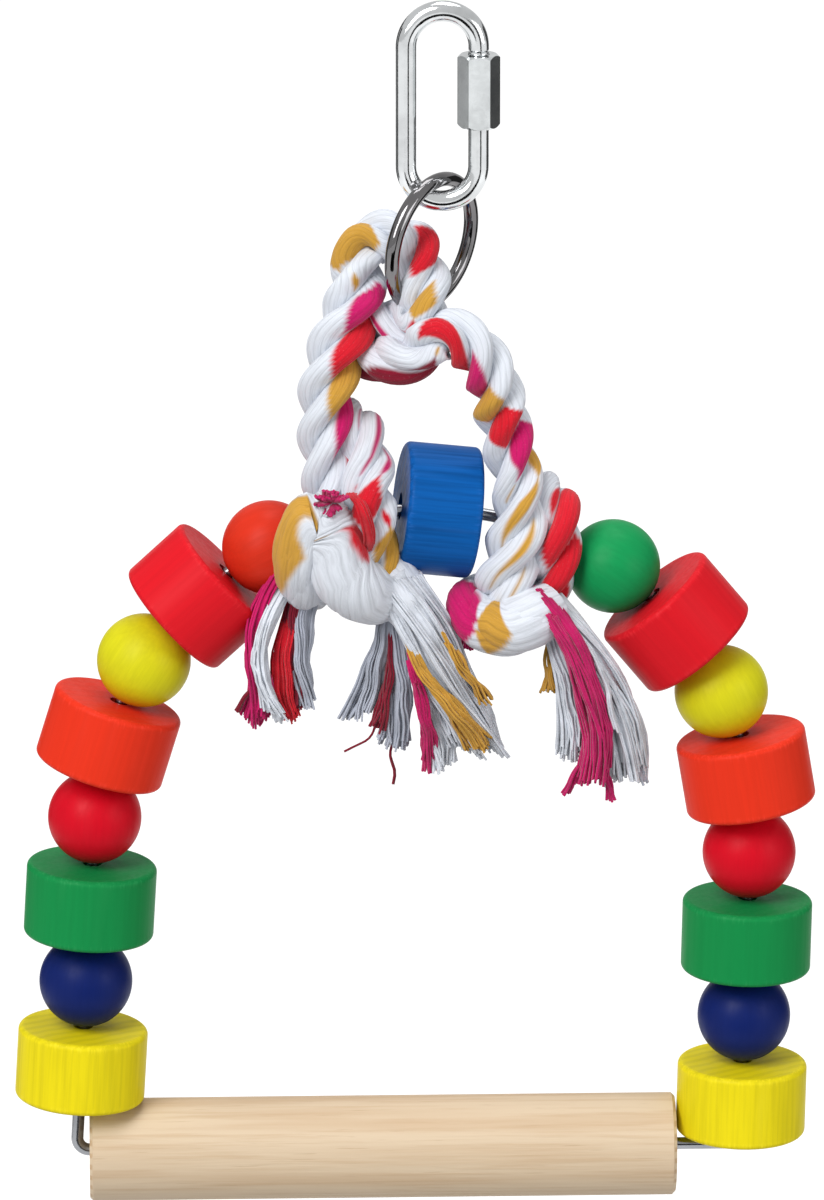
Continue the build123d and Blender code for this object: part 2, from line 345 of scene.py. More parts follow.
@dataclass(frozen=True)
class SpunCotton:
    """Strands of spun yarns, their dye read from the rope's own attribute and their lie from its UV map,
    darkened with painted shade in the grooves between yarns and threads.
    """

    name: str
    yarns: int
    roughness: float = 0.9

    def make(self) -> Material:
        """Make the finish.

        Returns:
            Its material.
        """
        shader = Shader(self.name)
        uv = shader.add("UVMap", uv_map="UVMap").outputs["UV"]
        around, _, _ = shader.split(uv)
        dye = shader.add("Attribute", attribute_name="dye").outputs["Color"]
        wave = shader.math("SINE", shader.math("MULTIPLY", around, pi * self.yarns))
        plies = shader.math("ABSOLUTE", wave)
        threads = shader.fibres(uv, (5.0 * self.yarns, 1.6, 1.0), 3.0, 0.6)
        hair = shader.noise(shader.place(), 2600.0, 3.0, 0.7)
        # painted shade: the dye darker in the grooves between yarns and between threads
        ply_shade = shader.math("MULTIPLY_ADD", shader.steps(plies, 0.0, 0.5), 0.13, 0.87)
        thread_shade = shader.math("MULTIPLY_ADD", shader.steps(threads, 0.3, 0.6), 0.14, 0.86)
        painted_groove_shade = shader.math("MULTIPLY", ply_shade, thread_shade)
        # the dye with that painted shade
        deep = shader.add("VectorMath", {0: dye, "Scale": painted_groove_shade}, operation="SCALE").outputs[0]
        shader.set(Base_Color=shader.mix(shader.steps(hair, 0.58, 0.8, 0.14), deep, Yarn.WHITE.value))
        shader.set(Roughness=self.roughness, Sheen_Weight=0.15, Sheen_Roughness=0.5)
        shader.set(Specular_IOR_Level=0.2)
        height = shader.math("MULTIPLY_ADD", threads, 2.0, shader.math("MULTIPLY", plies, 0.6))
        shader.bump(shader.math("ADD", height, shader.math("MULTIPLY", hair, 0.6)), 0.45, 0.0003)
        return shader.material


@dataclass(frozen=True)
class FrayedCotton:
    """Loose yarn of one colour."""

    dye: Yarn

    def make(self) -> Material:
        """Make the finish.

        Returns:
            Its material.
        """
        shader = Shader(f"frayed_{self.dye.name.lower()}")
        coords = shader.place()
        hair = shader.noise(coords, 2400.0, 3.0, 0.7)
        cloud = shader.noise(coords, 180.0, 2.0)
        full = self.dye.value
        light = tuple(min(1.0, part * 1.05 + 0.03) for part in full)
        cotton = shader.mix(shader.steps(cloud, 0.3, 0.7), scaled(full, 0.72), full)
        shader.set(Base_Color=shader.mix(shader.steps(hair, 0.5, 0.8), cotton, light))
        shader.set(Roughness=0.92, Sheen_Weight=0.25, Sheen_Roughness=0.5)
        shader.set(Specular_IOR_Level=0.2)
        shader.bump(hair, 0.4, 0.0002)
        return shader.material


def dress(node: str, material: Material) -> None:
    """Give a CAD node one material in place of its own.

    Args:
        node: the node's name.
        material: the material.
    """
    mesh = frame["nodes"][node].data
    mesh.materials.clear()
    mesh.materials.append(material)
    log.info("dressed %s", node)


def as_mesh(name: str, shape: bmesh.types.BMesh) -> Mesh:
    """Return a bmesh as a new mesh, and free it.

    Args:
        name: the mesh's name.
        shape: the bmesh.

    Returns:
        The mesh.
    """
    mesh = bpy.data.meshes.new(name)
    shape.to_mesh(mesh)
    shape.free()
    return mesh


def link(name: str, data: ID) -> Object:
    """Return a new object with some data, linked to the scene.

    Args:
        name: the object's name.
        data: its mesh, light or camera.

    Returns:
        The object.
    """
    item = bpy.data.objects.new(name, data)
    bpy.context.scene.collection.objects.link(item)
    return item


def add_piece(name: str, mesh: Mesh, body: str) -> Object:
    """Link a mesh as a piece that rides on a body.

    Args:
        name: the piece's name.
        mesh: its mesh, already in place.
        body: the CAD body that it rides on.

    Returns:
        The new object.
    """
    piece = link(name, mesh)
    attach(piece, body)
    log.info("built %s, %d faces", name, len(mesh.polygons))
    return piece


def stage_sheet(name: str, half: tuple[float, float], place: Matrix, shader: Shader) -> Object:
    """Stand a flat sheet in the studio.

    Args:
        name: the sheet's name.
        half: half its width and half its height.
        place: the transform that puts it in place.
        shader: its material.

    Returns:
        The sheet.
    """
    shape = bmesh.new()
    bmesh.ops.create_grid(shape, x_segments=1, y_segments=1, size=1.0)
    bmesh.ops.scale(shape, vec=(*half, 1.0), verts=shape.verts)
    bmesh.ops.transform(shape, matrix=place, verts=shape.verts)
    mesh = as_mesh(name, shape)
    mesh.materials.append(shader.material)
    sheet = link(name, mesh)
    return sheet


@dataclass
class Card:
    """A dark card that only mirrors in shiny metal."""

    name: str
    offset: Point
    half_width: float
    half_height: float
    shade: float

    def build(self, aim: Vector) -> None:
        """Stand the card at its offset from a point, facing it.

        Args:
            aim: the point.
        """
        offset = Vector(self.offset)
        turn = (-offset).to_track_quat("Z", "Y").to_matrix().to_4x4()
        shader = Shader(f"{self.name}_dark")
        shader.set(Base_Color=(0.0, 0.0, 0.0, 1.0), Roughness=1.0, Specular_IOR_Level=0.0)
        shader.set(Emission_Color=WHITE_LIGHT, Emission_Strength=self.shade)
        place = Matrix.Translation(aim + offset) @ turn
        card = stage_sheet(self.name, (self.half_width, self.half_height), place, shader)
        card.visible_camera = False
        card.visible_diffuse = False
        card.visible_shadow = False


@dataclass
class Studio:
    """Camera, light and pale surroundings."""

    target: Point = (-0.00719, 0.0, -0.14195)
    distance: float = 2.2
    elevation: float = 15.96
    azimuth: float = -1.87
    focal_px: float = 9159.4
    sensor: float = 36.0
    floor_z: float = -0.5
    floor_half: float = 8.0
    floor_glow: float = 0.68
    key_energy: float = 1.7
    key_angle: float = 32.0
    key_offset: Point = (-0.6, -0.9, 1.1)
    even_light: float = 0.36
    mirrored: float = 0.55

    def build(self) -> None:
        """Make the camera, the floor, the lamps and the world."""
        self.make_camera()
        self.make_floor()
        self.make_lamps()
        self.make_world()
        bpy.context.scene.view_settings.view_transform = "Standard"

    def make_camera(self) -> None:
        """Set the camera at the photograph's angle."""
        data = bpy.data.cameras.new("photo_camera")
        data.sensor_width = self.sensor
        data.lens = self.focal_px * self.sensor / FRAME_HEIGHT_PX
        data.clip_start, data.clip_end = 0.01, 50.0
        camera = link("photo_camera", data)
        turn, tilt = radians(self.azimuth), radians(self.elevation)
        back = Vector((sin(turn) * cos(tilt), -cos(turn) * cos(tilt), sin(tilt)))
        camera.location = Vector(self.target) + back * self.distance
        camera.rotation_euler = (-back).to_track_quat("-Z", "Y").to_euler()
        bpy.context.scene.camera = camera

    def make_floor(self) -> None:
        """Lay a pale floor well below the swing."""
        shader = Shader("pale_floor")
        path = shader.add("LightPath").outputs
        seen = shader.math("MAXIMUM", path["Is Camera Ray"], path["Is Glossy Ray"])
        seen = shader.math("MAXIMUM", seen, path["Is Transmission Ray"])
        shader.set(Base_Color=(0.5, 0.5, 0.5, 1.0), Roughness=0.9, Specular_IOR_Level=0.0)
        shader.set(Emission_Color=WHITE_LIGHT)
        shader.set(Emission_Strength=shader.math("MULTIPLY", seen, self.floor_glow))
        place = Matrix.Translation((0, 0, self.floor_z))
        stage_sheet("floor", (self.floor_half, self.floor_half), place, shader)

    def make_lamps(self) -> None:
        """Hang a soft key at upper left, fills for the highlights, and dark cards for the metal to mirror."""
        aim = Vector(self.target)
        sun = bpy.data.lights.new("key_light", "SUN")
        sun.energy = self.key_energy
        sun.angle = radians(self.key_angle)
        self.add_lamp(sun, Vector(self.key_offset), aim)
        lamps = [
            ("left_box", (-0.8, -1.0, 0.6), 0.5, 6.0),
            ("right_box", (1.0, -0.8, 0.3), 0.6, 4.0),
            ("top_box", (0.1, 0.2, 0.9), 0.5, 3.0),
        ]
        for name, place, size, power in lamps:
            data = bpy.data.lights.new(name, "AREA")
            data.shape = "SQUARE"
            data.size = size
            data.energy = power
            self.add_lamp(data, Vector(place), aim)
        cards = [
            Card("left_card", (-0.87, 0.25, 0.0), 0.13, 0.4, 0.01),
            Card("left_grey_card", (-0.78, 0.46, 0.0), 0.11, 0.4, 0.42),
            Card("left_rear_card", (-0.58, 0.69, 0.0), 0.22, 0.4, 0.01),
            Card("right_card", (0.82, 0.38, 0.0), 0.38, 0.38, 0.07),
            Card("slim_card", (0.36, -0.88, -0.15), 0.12, 0.4, 0.01),
            Card("low_card", (0.0, -0.5, -0.34), 0.3, 0.3, 0.01),
        ]
        for card in cards:
            card.build(aim)

    def add_lamp(self, data: Light, offset: Vector, aim: Vector) -> None:
        """Place a lamp at an offset from a point and turn it to that point.

        Args:
            data: the light.
            offset: its offset.
            aim: the point.
        """
        lamp = link(data.name, data)
        lamp.location = aim + offset
        lamp.rotation_euler = (-offset).to_track_quat("-Z", "Y").to_euler()

    def make_world(self) -> None:
        """Light everything evenly, and show white to the camera and a brighter world to shiny surfaces."""
        world = bpy.data.worlds.new("studio_world")
        bpy.context.scene.world = world
        world.use_nodes = True
        graph = NodeGraph(world.node_tree)
        path = graph.add("LightPath").outputs
        seen = graph.math("MAXIMUM", path["Is Camera Ray"], path["Is Transmission Ray"])
        share = graph.math("MULTIPLY_ADD", path["Is Glossy Ray"], self.mirrored, seen, clamp=True)
        back = graph.tree.nodes["Background"]
        back.inputs["Color"].default_value = WHITE_LIGHT
        strength = graph.math("MULTIPLY_ADD", share, 1.0 - self.even_light, self.even_light)
        graph.feed(back.inputs["Strength"], strength)


@dataclass
class LinkAndRing:
    """Screw link, its sleeve nut and the welded ring, with the arch wire's steel."""

    finishes: dict[str, PlatedSteel] = field(default_factory=lambda: {
        "quick_link": PlatedSteel("bright_zinc", (0.74, 0.76, 0.77), 0.11, 0.08),
        "link_sleeve": PlatedSteel("sleeve_zinc", (0.78, 0.81, 0.82)),
        "ring": PlatedSteel("ring_nickel", (0.2, 0.195, 0.2), 0.08, 0.06),
        # the wire's steel darker than plain steel: partly its own tone, partly painted shade for the shade it
        # hangs in
        "arch_wire": PlatedSteel("drawn_wire", (0.33, 0.34, 0.36), 0.2),
    })

    def build(self) -> None:
        """Dress the metal nodes."""
        for node, finish in self.finishes.items():
            dress(node, finish.make())


@dataclass
class BeadStrings:
    """Sixteen beads on the two legs and the blue block on the arch."""

    block_half_height: float = 9.0 * MM
    block_radius: float = 15.75 * MM
    grains: dict[Paint, float] = field(default_factory=lambda: {
        Paint.YELLOW_BLOCK: 0.46,
        Paint.NAVY_BALL: 0.25,
        Paint.GREEN_BLOCK: 0.22,
        Paint.RED_BALL: 0.2,
        Paint.ORANGE_BLOCK: 0.2,
        Paint.YELLOW_BALL: 0.28,
        Paint.RED_BLOCK: 0.25,
        Paint.ORANGE_BALL: 0.3,
        Paint.GREEN_BALL: 0.3,
        Paint.BLUE_BLOCK: 1.0,
    })

    def build(self) -> None:
        """Dress each bead along the axis of its own joint."""
        axes = {joint["child"]: Vector(joint["axis"]) for joint in frame["joints"]}
        beads = [node for node in frame["nodes"] if node.endswith(("_block", "_ball"))]
        for index, node in enumerate(sorted(beads)):
            low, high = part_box(node)
            turn = axes[node].to_track_quat("Z", "Y").to_euler()
            paint = Paint[node.split("_", 1)[1].upper()]
            shape = Shape.BLOCK if node.endswith("block") else Shape.BALL
            finish = StainedWood(paint, shape, self.grains[paint], self.block_half_height, self.block_radius)
            centre = (low + high) / 2
            dress(node, finish.make(f"{node}_paint", centre, tuple(turn), 0.37 * (index + 1)))


@dataclass
class PerchDowel:
    """The raw dowel."""

    wood: RawWood = RawWood()

    def build(self) -> None:
        """Dress the dowel."""
        low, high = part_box("perch")
        dress("perch", self.wood.make(low.x, high.x))


def add_spline(data: Curve, points: list[Point]) -> Spline:
    """Add a quadratic NURBS spline that starts and ends at its outer control points.

    Args:
        data: the curve to add to.
        points: the control points, in metres.

    Returns:
        The spline.
    """
    spline = data.splines.new("NURBS")
    spline.points.add(len(points) - 1)
    for spot, point in zip(spline.points, points):
        spot.co = (*point, 1.0)
    spline.order_u = 3
    spline.use_endpoint_u = True
    return spline


def curve_mesh(data: Curve) -> Mesh:
    """Return a curve as a mesh, and remove the curve.

    Args:
        data: the curve.

    Returns:
        The mesh.
    """
    carrier = bpy.data.objects.new(data.name, data)
    mesh = bpy.data.meshes.new_from_object(carrier)
    bpy.data.objects.remove(carrier)
    bpy.data.curves.remove(data)
    return mesh


def distances(points: np.ndarray) -> np.ndarray:
    """Return the distance along a line to each of its points."""
    runs = np.linalg.norm(np.diff(points, axis=0), axis=1)
    return np.concatenate([[0.0], np.cumsum(runs)])


def route_points(name: str, route: list[Point], resolution: int) -> np.ndarray:
    """Return the points of a NURBS spline whose control points are a cord's route.

    Args:
        name: a name for the spline.
        route: the control points, in metres.
        resolution: points for each control point.

    Returns:
        The spline's points, one row each.
    """
    data = bpy.data.curves.new(name, "CURVE")
    data.dimensions = "3D"
    data.resolution_u = resolution
    add_spline(data, route)
    mesh = curve_mesh(data)
    points = np.array([vertex.co for vertex in mesh.vertices], float)
    bpy.data.meshes.remove(mesh)
    apart = np.linalg.norm(np.diff(points, axis=0), axis=1) > 1e-6
    return points[np.concatenate([[True], apart])]


def carried_frames(points: np.ndarray) -> tuple[np.ndarray, np.ndarray]:
    """Return two normals at each point of a line, carried along without twist.

    Args:
        points: the line's points, one row each.

    Returns:
        The normal and the side, one row each.
    """
    ahead = np.gradient(points, axis=0)
    ahead /= np.linalg.norm(ahead, axis=1)[:, None]
    normal = np.zeros_like(points)
    first = np.cross(ahead[0], (0.0, 1.0, 0.0))
    normal[0] = first / np.linalg.norm(first)
    for index in range(1, len(points)):
        kept = normal[index - 1] - ahead[index] * (normal[index - 1] @ ahead[index])
        normal[index] = kept / np.linalg.norm(kept)
    return normal, np.cross(ahead, normal)


@dataclass
class Strand:
    """One strand of the rope, row by row along its centreline."""

    points: np.ndarray
    normal: np.ndarray
    side: np.ndarray
    distance: np.ndarray
    radius: np.ndarray
    loose: np.ndarray
    turn: np.ndarray
    facing: np.ndarray
    rear: np.ndarray
    dyed: np.ndarray
    dyes: list[Colour]
    rear_dye: Colour
    least: float = 0.2

    def dye_share(self, row: int, angle: float, toward: float, most: float, yarns: int) -> float:
        """Return how far a yarn of the strand is dyed.

        Args:
            row: the row along the strand.
            angle: the yarn's angle round the strand.
            toward: the angle that the dyed yarns look at.
            most: how many yarns are dyed where the strand lies outermost on that side.
            yarns: how many yarns make half the strand's girth.

        Returns:
            A share from 0 for white to 1 for dyed.
        """
        outward = self.least + (1 - self.least) * cos(self.turn[row] - toward)
        apart = abs((angle - toward + pi) % (tau) - pi) / pi * yarns
        count = most * max(self.loose[row], outward)
        return min(1.0, max(0.0, count - apart + 0.5)) if count > 0.1 else 0.0


LAID = (Yarn.RED, Yarn.MUSTARD, Yarn.MAGENTA)
REDS = (Yarn.RED,) * 3
MUSTARDS = (Yarn.MUSTARD,) * 3
MAGENTAS = (Yarn.MAGENTA,) * 3
ONE_RED = (Yarn.WHITE, Yarn.RED, Yarn.WHITE)
ONE_MUSTARD = (Yarn.MUSTARD, Yarn.WHITE, Yarn.WHITE)
# three strands of red yarn darkened as painted shade
SHADED_REDS = (Yarn.DARK_RED,) * 3
FRONT = (0.0, -1.0, 0.0)


@dataclass(frozen=True)
class Bend:
    """One control point of the rope, in millimetres.

    Attributes:
        place: where it is.
        thick: the rope's thickness there.
        face: the way that the dyed yarns of its strands look.
        dyed: how many yarns of a strand's dozen are dyed where it lies outermost on the side of face.
        loose: from 0 for tightly laid strands to 1 for strands that merge in one bundle.
        dyes: the yarn colours of the three strands; under the loop they are red darkened as painted shade.
        lead: the dye whose strand lies outermost on the side of face, if that is fixed here.
    """

    place: Point
    thick: float = 12.0
    face: Point = FRONT
    dyed: float = 4.0
    loose: float = 0.0
    dyes: tuple[Yarn, Yarn, Yarn] = LAID
    lead: Yarn | None = None


@dataclass
class HitchedRope:
    """One length of three-strand cotton rope: knot, leg, hitch through the ring, leg and knot."""

    diameter: float = 11.0 * MM
    length: float = 0.58
    lay: float = 33.0 * MM
    yarns: int = 12
    rear_dyed: float = 2.6
    ridge_height: float = 0.03
    around: int = 48
    resolution: int = 11
    swell: float = 0.12
    ridge_middle: float = 0.6
    uv_length: float = 10.0 * MM
    piece: Object = field(init=False)
    points: np.ndarray = field(init=False)
    left_knot: tuple[Bend, ...] = (
        Bend((-27.5, -8.5, -111), 12, (1, -0.2, 0), 1.6),
        Bend((-27, -8.5, -129), 10.4, dyed=0),
        Bend((-24, 6.5, -129), 10.4, dyed=0),
        Bend((-24, 7, -101), 11, (0.6, -0.8, 0), 0.8, dyes=MAGENTAS),
        Bend((-20.6, -3, -96), 11.8, (0.6, -0.8, 0), 0.9, 0.1, MAGENTAS),
        Bend((-17.8, -10, -106), 12.4, (0.6, -0.8, 0), 0.9, 0.1, MAGENTAS),
        Bend((-18, -16.5, -113.5), 12.6, (-0.3, -1, 0.3), 7.5, dyes=REDS),
        Bend((-16.8, -13.5, -122), 11.2, (1, -0.6, 0), 7, dyes=MUSTARDS),
        Bend((-15.6, -9, -136), 10.8, dyed=0),
        Bend((-19, 7.5, -136.5), 10.4, dyed=0),
        Bend((-27, 8, -136), 10.4, dyed=0),
        Bend((-31, 1, -139), 11, dyed=0),
        Bend((-33.4, -12, -134.5), 12, (-0.9, -0.5, 0), 0, 0.8, MUSTARDS),
        Bend((-34.6, -16, -129), 12.6, (-0.9, -0.5, 0), 2.5, 0.86, MUSTARDS),
        Bend((-34.6, -18.5, -123), 13, (-0.9, -0.5, 0), 5, 0.9, MUSTARDS),
        Bend((-30.8, -19.5, -114.5), 14, (-1, -0.2, 0), 2, 0.9, MUSTARDS),
        Bend((-26.5, -18.5, -122), 15, (0.9, -0.4, 0.5), 2.4, 0.94, REDS),
        Bend((-25, -18.2, -130), 15.5, (0.9, -0.4, 0.5), 0, 0.94),
        Bend((-20, -16, -135), 15.5, dyed=0, loose=0.94),
        Bend((-14, -8, -140), 12, dyed=0, loose=0.8),
        Bend((-13.5, -9, -131), 12, dyed=0, loose=0.85),
        Bend((-9.5, -11.5, -138.5), 13, dyed=0, loose=0.94),
        Bend((-6.5, -12.5, -144), 9, dyed=0, loose=0.94),
    )
    loop: tuple[Bend, ...] = (
        Bend((-28.5, -7, -97), 12.8, (1, -0.4, 0), 5),
        Bend((-27.6, -7, -86), 13.6, (1, -0.6, 0), 7.5),
        Bend((-24.6, -5.5, -76), 14.2, (1, -0.7, 0), 7.5, lead=Yarn.RED),
        Bend((-20.5, -2.2, -67.5), 14, (1, -0.7, 0), 7),
        Bend((-19.8, 2.5, -58), 12.8, (-1, -0.6, 0), 8, dyes=ONE_MUSTARD),
        Bend((-17.8, 4, -53), 12.6, (-1, -0.6, 0), 9, dyes=ONE_MUSTARD, lead=Yarn.MUSTARD),
        Bend((-8.5, 1.5, -52.5), 12.4, (0.3, -0.9, 0.5), 5, dyes=ONE_RED),
        Bend((-4.8, -2, -58), 12.6, (0.4, -1, 0.2), 7.5, dyes=ONE_RED, lead=Yarn.RED),
        Bend((-4.2, -8, -67.5), 12.4, (-0.7, -0.9, 0), 8, dyes=ONE_MUSTARD),
        Bend((-6, -8.5, -73), 11, (0, -0.7, -0.7), 3),
        Bend((-12, -2, -72), 11, dyed=1),
        Bend((-21, 7, -71), 11, dyed=1),
        # The loop's underside faces down into shade; its strands are red darkened as painted shade.
        Bend((-22.5, 7, -80.5), 11, (0, -0.3, -1), 6.5, dyes=SHADED_REDS),
        Bend((-13, -7.5, -81), 11.8, (0, -0.4, -1), 7.5, 0.3, SHADED_REDS),
        Bend((-5.5, -12.5, -78), 11.8, (0.2, -0.3, -1), 4, dyes=SHADED_REDS),
        Bend((-1, -14, -71.5), 12.2, (-0.8, -0.6, 0.2), 4.5, lead=Yarn.RED),
        Bend((6, -13, -74.5), 12.6, (-0.8, -0.6, -0.2), 5),
        Bend((11.3, -11.6, -83), 12.6, (-1, -0.4, 0), 7),
        Bend((12.8, -10.2, -89), 12.8, (-0.7, -0.8, 0), 7.5),
        Bend((14, -9.3, -94.5), 12.8, (0.2, -1, 0), 7.5, lead=Yarn.RED),
        Bend((15.2, -8.8, -100), 12.6, (0.7, -0.8, 0), 7),
    )
    right_knot: tuple[Bend, ...] = (
        Bend((16.6, -8.5, -106), 12.4, (0.9, -0.5, 0), 5),
        Bend((18.5, -9.5, -114), 12.4, (0, -0.8, 0.6), 2.2, dyes=MUSTARDS),
        Bend((17.5, -11, -125), 14, FRONT, 1.1, 0.1, MUSTARDS),
        Bend((13, -11, -138.5), 13, dyed=0, loose=0.1),
        Bend((16.5, 6.5, -136), 10.6, dyed=0),
        Bend((22, 7, -121), 10.6, dyed=0),
        Bend((25.8, -1, -114.5), 11, (0.6, -0.6, -0.4), 6, dyes=REDS),
        Bend((27.8, -8.5, -119.5), 11.8, (0.5, -1, 0), 8.5, dyes=REDS),
        Bend((26.5, -9, -133), 11.4, (0.5, -1, 0), 8, dyes=REDS),
        Bend((24.5, -2, -140), 10.6, dyed=3, dyes=REDS),
        Bend((18, 7, -141.5), 10.6, dyed=0),
        Bend((9, 5, -142.5), 10.8, dyed=8, dyes=MAGENTAS),
        Bend((5.5, -7.5, -141), 12, (-0.6, -0.8, 0), 11, 0.4, MAGENTAS),
        Bend((8.5, -12.5, -144), 12.4, (-0.5, -1, 0), 8, 0.5, MAGENTAS),
        Bend((12, -14.5, -144.6), 13.2, (-0.4, -1, 0.4), 9, 0.6, MUSTARDS),
        Bend((15.6, -15.3, -144.6), 14.4, dyed=0, loose=0.75),
        Bend((21.5, -14.5, -142), 14.6, dyed=0, loose=0.85),
        Bend((26, -11, -140), 11, dyed=0, loose=0.85),
    )

    def build(self) -> None:
        """Lay the three strands along the route."""
        bends = [*reversed(self.left_knot), *self.loop, *self.right_knot]
        route = [tuple(part * MM for part in bend.place) for bend in bends]
        points = route_points("rope_route", route, self.resolution)
        distance = distances(points)
        normal, side = carried_frames(points)
        reach = len(bends) - 2
        spots = [0.0, *(index + 0.5 for index in range(reach)), float(reach)]
        rows = np.linspace(0.0, reach, len(points))

        def along(values: list[float]) -> np.ndarray:
            """Return values of the bends spread along the line."""
            return np.interp(rows, spots, values)

        order = along([float(index) for index in range(len(bends))])
        below = np.floor(order).astype(int)
        above = np.ceil(order).astype(int)
        counts = np.array([bend.dyed for bend in bends])
        nearest = np.round(order).astype(int)
        ranked = np.where(counts[above] == 0, below, nearest)
        ranked = np.where(counts[below] == 0, above, ranked)
        changed = np.array([bends[low].dyes != bends[high].dyes for low, high in zip(below, above)])
        changed &= (counts[below] > 0) & (counts[above] > 0)
        dyed = along(list(counts)) * np.where(changed, 2 * np.abs(order - below - 0.5), 1.0)
        faces = np.stack([along([bend.face[axis] for bend in bends]) for axis in range(3)], axis=1)
        facing = np.unwrap(np.arctan2(np.sum(faces * side, axis=1), np.sum(faces * normal, axis=1)))
        turns = distance / self.lay + self.lead_shift(bends, spots, rows, distance, facing)
        shape = bmesh.new()
        shape.loops.layers.uv.new("UVMap")
        shape.verts.layers.float_color.new("dye")
        for index in range(3):
            strand = Strand(
                points=points,
                normal=normal,
                side=side,
                distance=distance,
                radius=along([bend.thick * MM / 2 for bend in bends]),
                loose=along([bend.loose for bend in bends]),
                turn=tau * (turns + index / 3),
                facing=facing,
                rear=np.arctan2(side[:, 1], normal[:, 1]),
                dyed=dyed,
                dyes=[bends[bend].dyes[index].value for bend in ranked],
                rear_dye=LAID[index].value,
            )
            self.add_strand(shape, strand)
        mesh = as_mesh("twisted_rope", shape)
        mesh.materials.append(SpunCotton("twisted_cotton", self.yarns).make())
        self.piece = add_piece("twisted_rope", mesh, "swing_frame")
        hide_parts("rope_loop", "knot_left", "knot_right")
        self.points = points
        log.info("rope centreline %.4f m", distance[-1])

    def lead_shift(
        self,
        bends: list[Bend],
        spots: list[float],
        rows: np.ndarray,
        distance: np.ndarray,
        facing: np.ndarray,
    ) -> np.ndarray:
        """Return the turns added along the rope so that each leading strand lies outermost at its bend.

        Args:
            bends: the rope's bends.
            spots: the bends' places on the spline.
            rows: the points' places on the spline.
            distance: distance along the centreline.
            facing: the angle that the dyed yarns look at.

        Returns:
            The added turns, one for each point.
        """
        places, shifts = [], []
        for bend, spot in zip(bends, spots):
            if bend.lead is None:
                continue
            row = int(np.argmin(np.abs(rows - spot)))
            strand = bend.dyes.index(bend.lead)
            wanted = facing[row] / (tau) - strand / 3 - distance[row] / self.lay
            before = shifts[-1] if shifts else wanted
            places.append(distance[row])
            shifts.append(before + (wanted - before + 0.5) % 1.0 - 0.5)
        return np.interp(distance, places, shifts)

    def add_strand(self, shape: bmesh.types.BMesh, strand: Strand) -> None:
        """Add one strand: a grid rolled round a line that circles the rope's centreline.

        Args:
            shape: the mesh to add to.
            strand: the strand's lines and dyes, row by row.
        """
        last = len(strand.points) - 1
        made = bmesh.ops.create_grid(shape, x_segments=self.around, y_segments=last, size=0.5, calc_uvs=True)
        coords = shape.loops.layers.uv.active
        paint = shape.verts.layers.float_color["dye"]
        laid_share = 1 / (1 + 2 / sqrt(3))
        for face in {face for vertex in made["verts"] for face in vertex.link_faces}:
            face.smooth = True
            for loop in face.loops:
                row = int(round((loop.vert.co.y + 0.5) * last))
                loop[coords].uv = (loop.vert.co.x + 0.5, strand.distance[row] / self.uv_length)
        white = np.array(Yarn.WHITE.value)
        for vertex in made["verts"]:
            across = vertex.co.x + 0.5
            row = int(round((vertex.co.y + 0.5) * last))
            normal, side = strand.normal[row], strand.side[row]
            share = laid_share + (1 - laid_share) * strand.loose[row]
            radius = strand.radius[row] * share
            spin = cos(strand.turn[row]) * normal + sin(strand.turn[row]) * side
            centre = strand.points[row] + (strand.radius[row] - radius) * spin
            ridge = abs(sin(pi * self.yarns * across)) - self.ridge_middle
            radius *= 1 + self.swell * (1 - strand.loose[row]) + self.ridge_height * ridge
            angle = strand.facing[row] + tau * across
            vertex.co = centre + radius * (cos(angle) * normal + sin(angle) * side)
            share = strand.dye_share(row, angle, strand.facing[row], strand.dyed[row], self.yarns)
            dye = strand.dyes[row]
            if share == 0:
                rear_count = self.rear_dyed * (1 - strand.loose[row])
                share = strand.dye_share(row, angle, strand.rear[row], rear_count, self.yarns)
                dye = strand.rear_dye
            vertex[paint] = (*(white + share * (np.array(dye) - white)), 1.0)
        bmesh.ops.remove_doubles(shape, verts=made["verts"], dist=1e-7)


@dataclass
class Lock:
    """One lock of a frayed tail: yarns of one colour along a guide line, in millimetres; the colour is a dye,
    except in grey and dark red locks, whose yarn is darkened as painted shade.

    Attributes:
        twist: how far its yarns turn about the guide, in degrees.
        stagger: the share of the guide within which its yarns start, one by one.
    """

    dye: Yarn
    yarns: int
    top_radius: float
    end_radius: float
    guide: list[Point]
    twist: float = 90.0
    stagger: float = 0.0

    def length(self) -> float:
        """Return the guide's length."""
        return distances(np.array(self.guide, float))[-1]

    def spot(self, along: float) -> list[float]:
        """Return the point at a distance along the guide."""
        guide = np.array(self.guide, float)
        return [float(np.interp(along, distances(guide), guide[:, axis])) for axis in range(3)]

    def radius(self, share: float, lean: float = 1.0) -> float:
        """Return the lock's radius at a share of its length, its end widened by a lean."""
        return self.top_radius + (self.end_radius * lean - self.top_radius) * share**1.4


